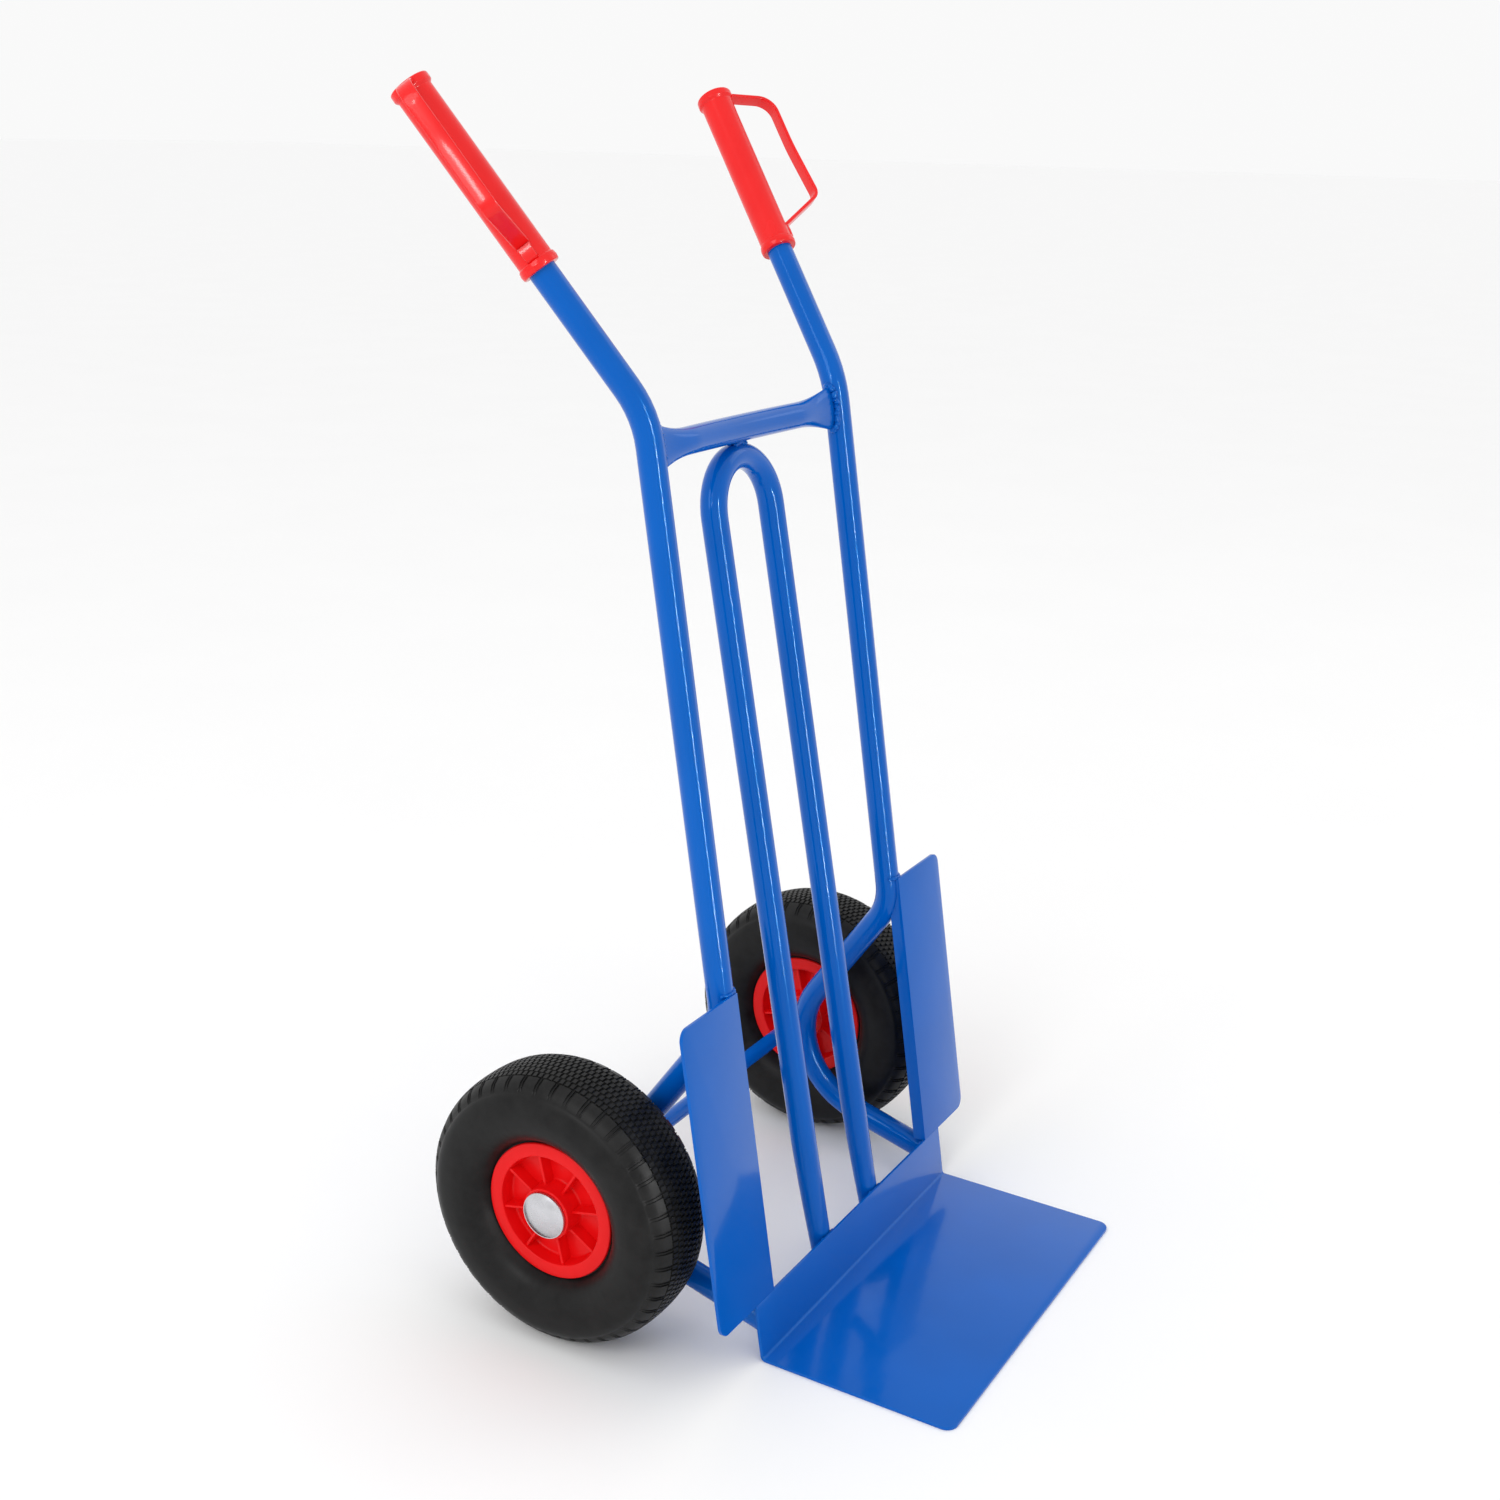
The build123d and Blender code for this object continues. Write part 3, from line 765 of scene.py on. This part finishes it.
def grip_boss(vertex, along, stand):
    """The thickened root of the strap on the sleeve."""
    side_dir = stand.cross(along)
    points = []
    for t, wide, high in root_sections:
        outline = (
            (-wide, 0.6), (-wide + root_chamfer, 1.0), (wide - root_chamfer, 1.0),
            (wide, 0.6), (wide, 0), (-wide, 0),
        )
        for a, b in outline:
            stand_off = root_base + (high + 1.4) * b
            points.append(vertex + along * (t * MM) + side_dir * (a * MM) + stand * (stand_off * MM))
    around = len(outline)
    last = len(root_sections) - 1
    faces = []
    for ring in range(last):
        low = ring * around
        for j in range(around):
            k = (j + 1) % around
            faces.append((low + j, low + k, low + around + k, low + around + j))
    faces += [tuple(reversed(range(around))), tuple(range(last * around, (last + 1) * around))]
    return points, faces


for side_name, side in SIDES:
    placed = grip_frame(side)
    mesh = united(grip_sleeve(*placed), grip_band(*placed), grip_boss(*placed))
    grip = finish_piece("handle_grip_" + side_name, mesh, "frame", grip_red, 32)
    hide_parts("grip_" + side_name)


# ------------------------------------------------------------------ weld beads
ripple = 3.2 * MM              # length of one ripple of a bead
bead_sides = 10
axle_weld_x = 171 * MM         # where the loops cross the axle
guard_weld_reach = 9 * MM      # how far behind its sheet a guard is welded


def bead(route, width, closed, seed):
    """A weld bead along a route: overlapping ripples, a little uneven in width and line."""
    travelled = 0.0
    sizes = []
    wander = []
    for i, here in enumerate(route):
        if i:
            travelled += (here - route[i - 1]).length
        wave = abs(sin(pi * travelled / ripple))
        rough = noise.noise(Vector((seed * 7.3, travelled * 420, 0.5)))
        sizes.append(width * (0.74 + 0.38 * wave + 0.45 * rough))
        stray = noise.noise_vector(Vector((seed * 3.1, travelled * 300, 1.5)))
        wander.append(here + stray * width * 0.35)
    if not closed:
        sizes[0] *= 0.45
        sizes[-1] *= 0.45

    def section(i):
        angles = [tau * j / bead_sides for j in range(bead_sides)]
        return [(sizes[i] * cos(angle), sizes[i] * sin(angle)) for angle in angles]

    return sweep(wander, section, (route[1] - route[0]).orthogonal(), closed)


def bow(x):
    """How far behind its ends the crossbar stands, at a distance x from its middle."""
    radius = (half_track**2 + bar_bow**2) / (2 * bar_bow)
    return bar_bow - radius + sqrt(radius**2 - x**2)


def crossbar_weld(side, seed):
    """Round the flattened end of the crossbar, where it meets the upright."""
    route = []
    steps = 120
    for k in range(steps):
        angle = tau * k / steps
        y = 5.6 * MM * cos(angle)
        z = 20.6 * MM * sin(angle)
        x = side * (half_track - sqrt(tube_r**2 - y**2) - 0.4 * MM)
        route.append(leaning(x, tube_y + y + 0.5 * MM, bar_height + z))
    return bead(route, 2.9 * MM, True, seed)


def apex_weld(seed):
    """Two beads between the hairpin's apex and the underside of the crossbar."""
    route = []
    steps = 27
    for k in range(steps + 1):
        x = (k / steps - 0.5) * 20 * MM
        drop = 0.9 * x * x / (36 * MM)
        route.append(leaning(x, tube_y + bow(x) + 1.5 * MM, bar_height - tube_r - 0.2 * MM - drop))
    back = [p + Vector((0, 6.0 * MM, 0)) for p in route]
    return joined(bead(route, 2.0 * MM, False, seed), bead(back, 2.2 * MM, False, seed + 1))


def guard_top_weld(side, seed):
    """A short run where the top of a wheel guard meets the upright."""
    route = []
    steps = 33
    for k in range(steps + 1):
        angle = radians(-148 + 116 * k / steps)
        x = side * half_track + (tube_r + 0.4 * MM) * cos(angle)
        y = tube_y + (tube_r + 0.4 * MM) * sin(angle)
        if y < sheet + guard_weld_reach:
            route.append(leaning(x, y, guard_top + 0.6 * MM))
    return bead(route, 1.7 * MM, False, seed)


def flange_weld(x, seed, width, low, high):
    """Two vertical fillets where a tube stands on the back of the flange."""
    runs = []
    steps = int((high - low) / (0.9 * MM))
    heights = [low + (high - low) * k / steps for k in range(steps + 1)]
    for index, sign in enumerate((-1, 1)):
        route = [leaning(x + sign * width, sheet + 1.2 * MM, height) for height in heights]
        runs.append(bead(route, 1.9 * MM, False, seed + index))
    return joined(*runs)


def axle_weld(side, seed):
    """Two beads along the axle where it crosses a tube's loop, above and below."""
    runs = []
    steps = 24
    for index, sign in enumerate((-1, 1)):
        route = []
        for k in range(steps + 1):
            x = side * axle_weld_x + (k / steps - 0.5) * 17 * MM
            lift = sign * 5.8 * MM
            route.append(Vector((x, axle_centre.y - 8.6 * MM, axle_centre.z + lift)))
        runs.append(bead(route, 2.4 * MM, False, seed + index))
    return joined(*runs)


weld_top = flange_height - 1 * MM
welds = [apex_weld(3)]
for index, (side_name, side) in enumerate(SIDES):
    seed = 20 * (index + 1)
    welds += [
        crossbar_weld(side, seed),
        guard_top_weld(side, seed + 2),
        flange_weld(side * half_track, seed + 8, 8.0 * MM, 30 * MM, weld_top),
        flange_weld(side * hairpin_half, seed + 11, 9.4 * MM, 18 * MM, weld_top),
        axle_weld(side, seed + 14),
    ]
weld_points, weld_faces = joined(*welds)
new_piece("weld_beads", weld_points, weld_faces, "frame", blue, 60)


# ------------------------------------------------------------------ floor, light and camera
def pale_floor():
    """Matt floor, a touch uneven in tone."""
    made, tree, shader = new_material("pale_floor", roughness=0.85, specular=0.2)
    grain = add_noise(tree, 3.0, 4.0)
    colour = ramp(tree, grain, 0.2, 0.8, (0.975, 0.975, 0.975), (0.99, 0.99, 0.99))
    tree.links.new(colour, shader.inputs["Base Color"])
    return made


floor_half = 60.0              # metres, out of every view
floor_mesh = bpy.data.meshes.new("floor")
floor_mesh.from_pydata(
    [(x * floor_half, y * floor_half, 0) for x, y in ((-1, -1), (1, -1), (1, 1), (-1, 1))],
    [], [(0, 1, 2, 3)],
)
floor_mesh.materials.append(pale_floor())
floor = bpy.data.objects.new("floor", floor_mesh)
bpy.context.scene.collection.objects.link(floor)


def area_light(name, place, target, size, power):
    """A white softbox of a size in metres and a power in watts, aimed at a target."""
    data = bpy.data.lights.new(name, "AREA")
    data.shape = "RECTANGLE"
    data.size, data.size_y = size
    data.energy = power
    lamp = bpy.data.objects.new(name, data)
    lamp.location = place
    lamp.rotation_euler = (Vector(target) - Vector(place)).to_track_quat("-Z", "Y").to_euler()
    bpy.context.scene.collection.objects.link(lamp)
    return lamp


# The first two only add reflections: a long glint down the tubes, and one on the near grip.
strip = area_light("front_strip", (-0.58, -1.77, 0.86), (0, 0, 0.86), (0.045, 1.70), 26)
strip.visible_diffuse = False
card = area_light("grip_card", (-2.12, -0.29, 1.65), (-0.26, 0.17, 1.0), (0.16, 0.22), 2.4)
card.visible_diffuse = False
area_light("key_softbox", (-2.8, 0.2, 2.2), (0, 0, 0.5), (1.6, 1.6), 22)
area_light("fill_softbox", (2.4, -1.6, 2.6), (0, 0, 0.5), (1.4, 1.4), 5)

world = bpy.data.worlds.new("studio")
bpy.context.scene.world = world
world.use_nodes = True
backdrop = world.node_tree.nodes["Background"]
backdrop.inputs["Color"].default_value = (1.0, 1.0, 1.0, 1)
backdrop.inputs["Strength"].default_value = 0.95
bpy.context.scene.view_settings.view_transform = "Standard"

camera_azimuth = radians(210.05)     # from +X towards +Y
camera_elevation = radians(18.13)
camera_roll = radians(1.33)
camera_place = axle_centre + Vector((-1.44295, -0.87791, 0.91093))
back = Vector((
    cos(camera_elevation) * cos(camera_azimuth),
    cos(camera_elevation) * sin(camera_azimuth),
    sin(camera_elevation),
))
level = Vector((-sin(camera_azimuth), cos(camera_azimuth), 0))
upward = back.cross(level)
right = level * cos(camera_roll) + upward * sin(camera_roll)
camera_data = bpy.data.cameras.new("camera")
camera_data.lens = 45.68
camera_data.sensor_width = 36
camera = bpy.data.objects.new("camera", camera_data)
camera.matrix_world = axes(camera_place, right, back)
bpy.context.scene.collection.objects.link(camera)
bpy.context.scene.camera = camera
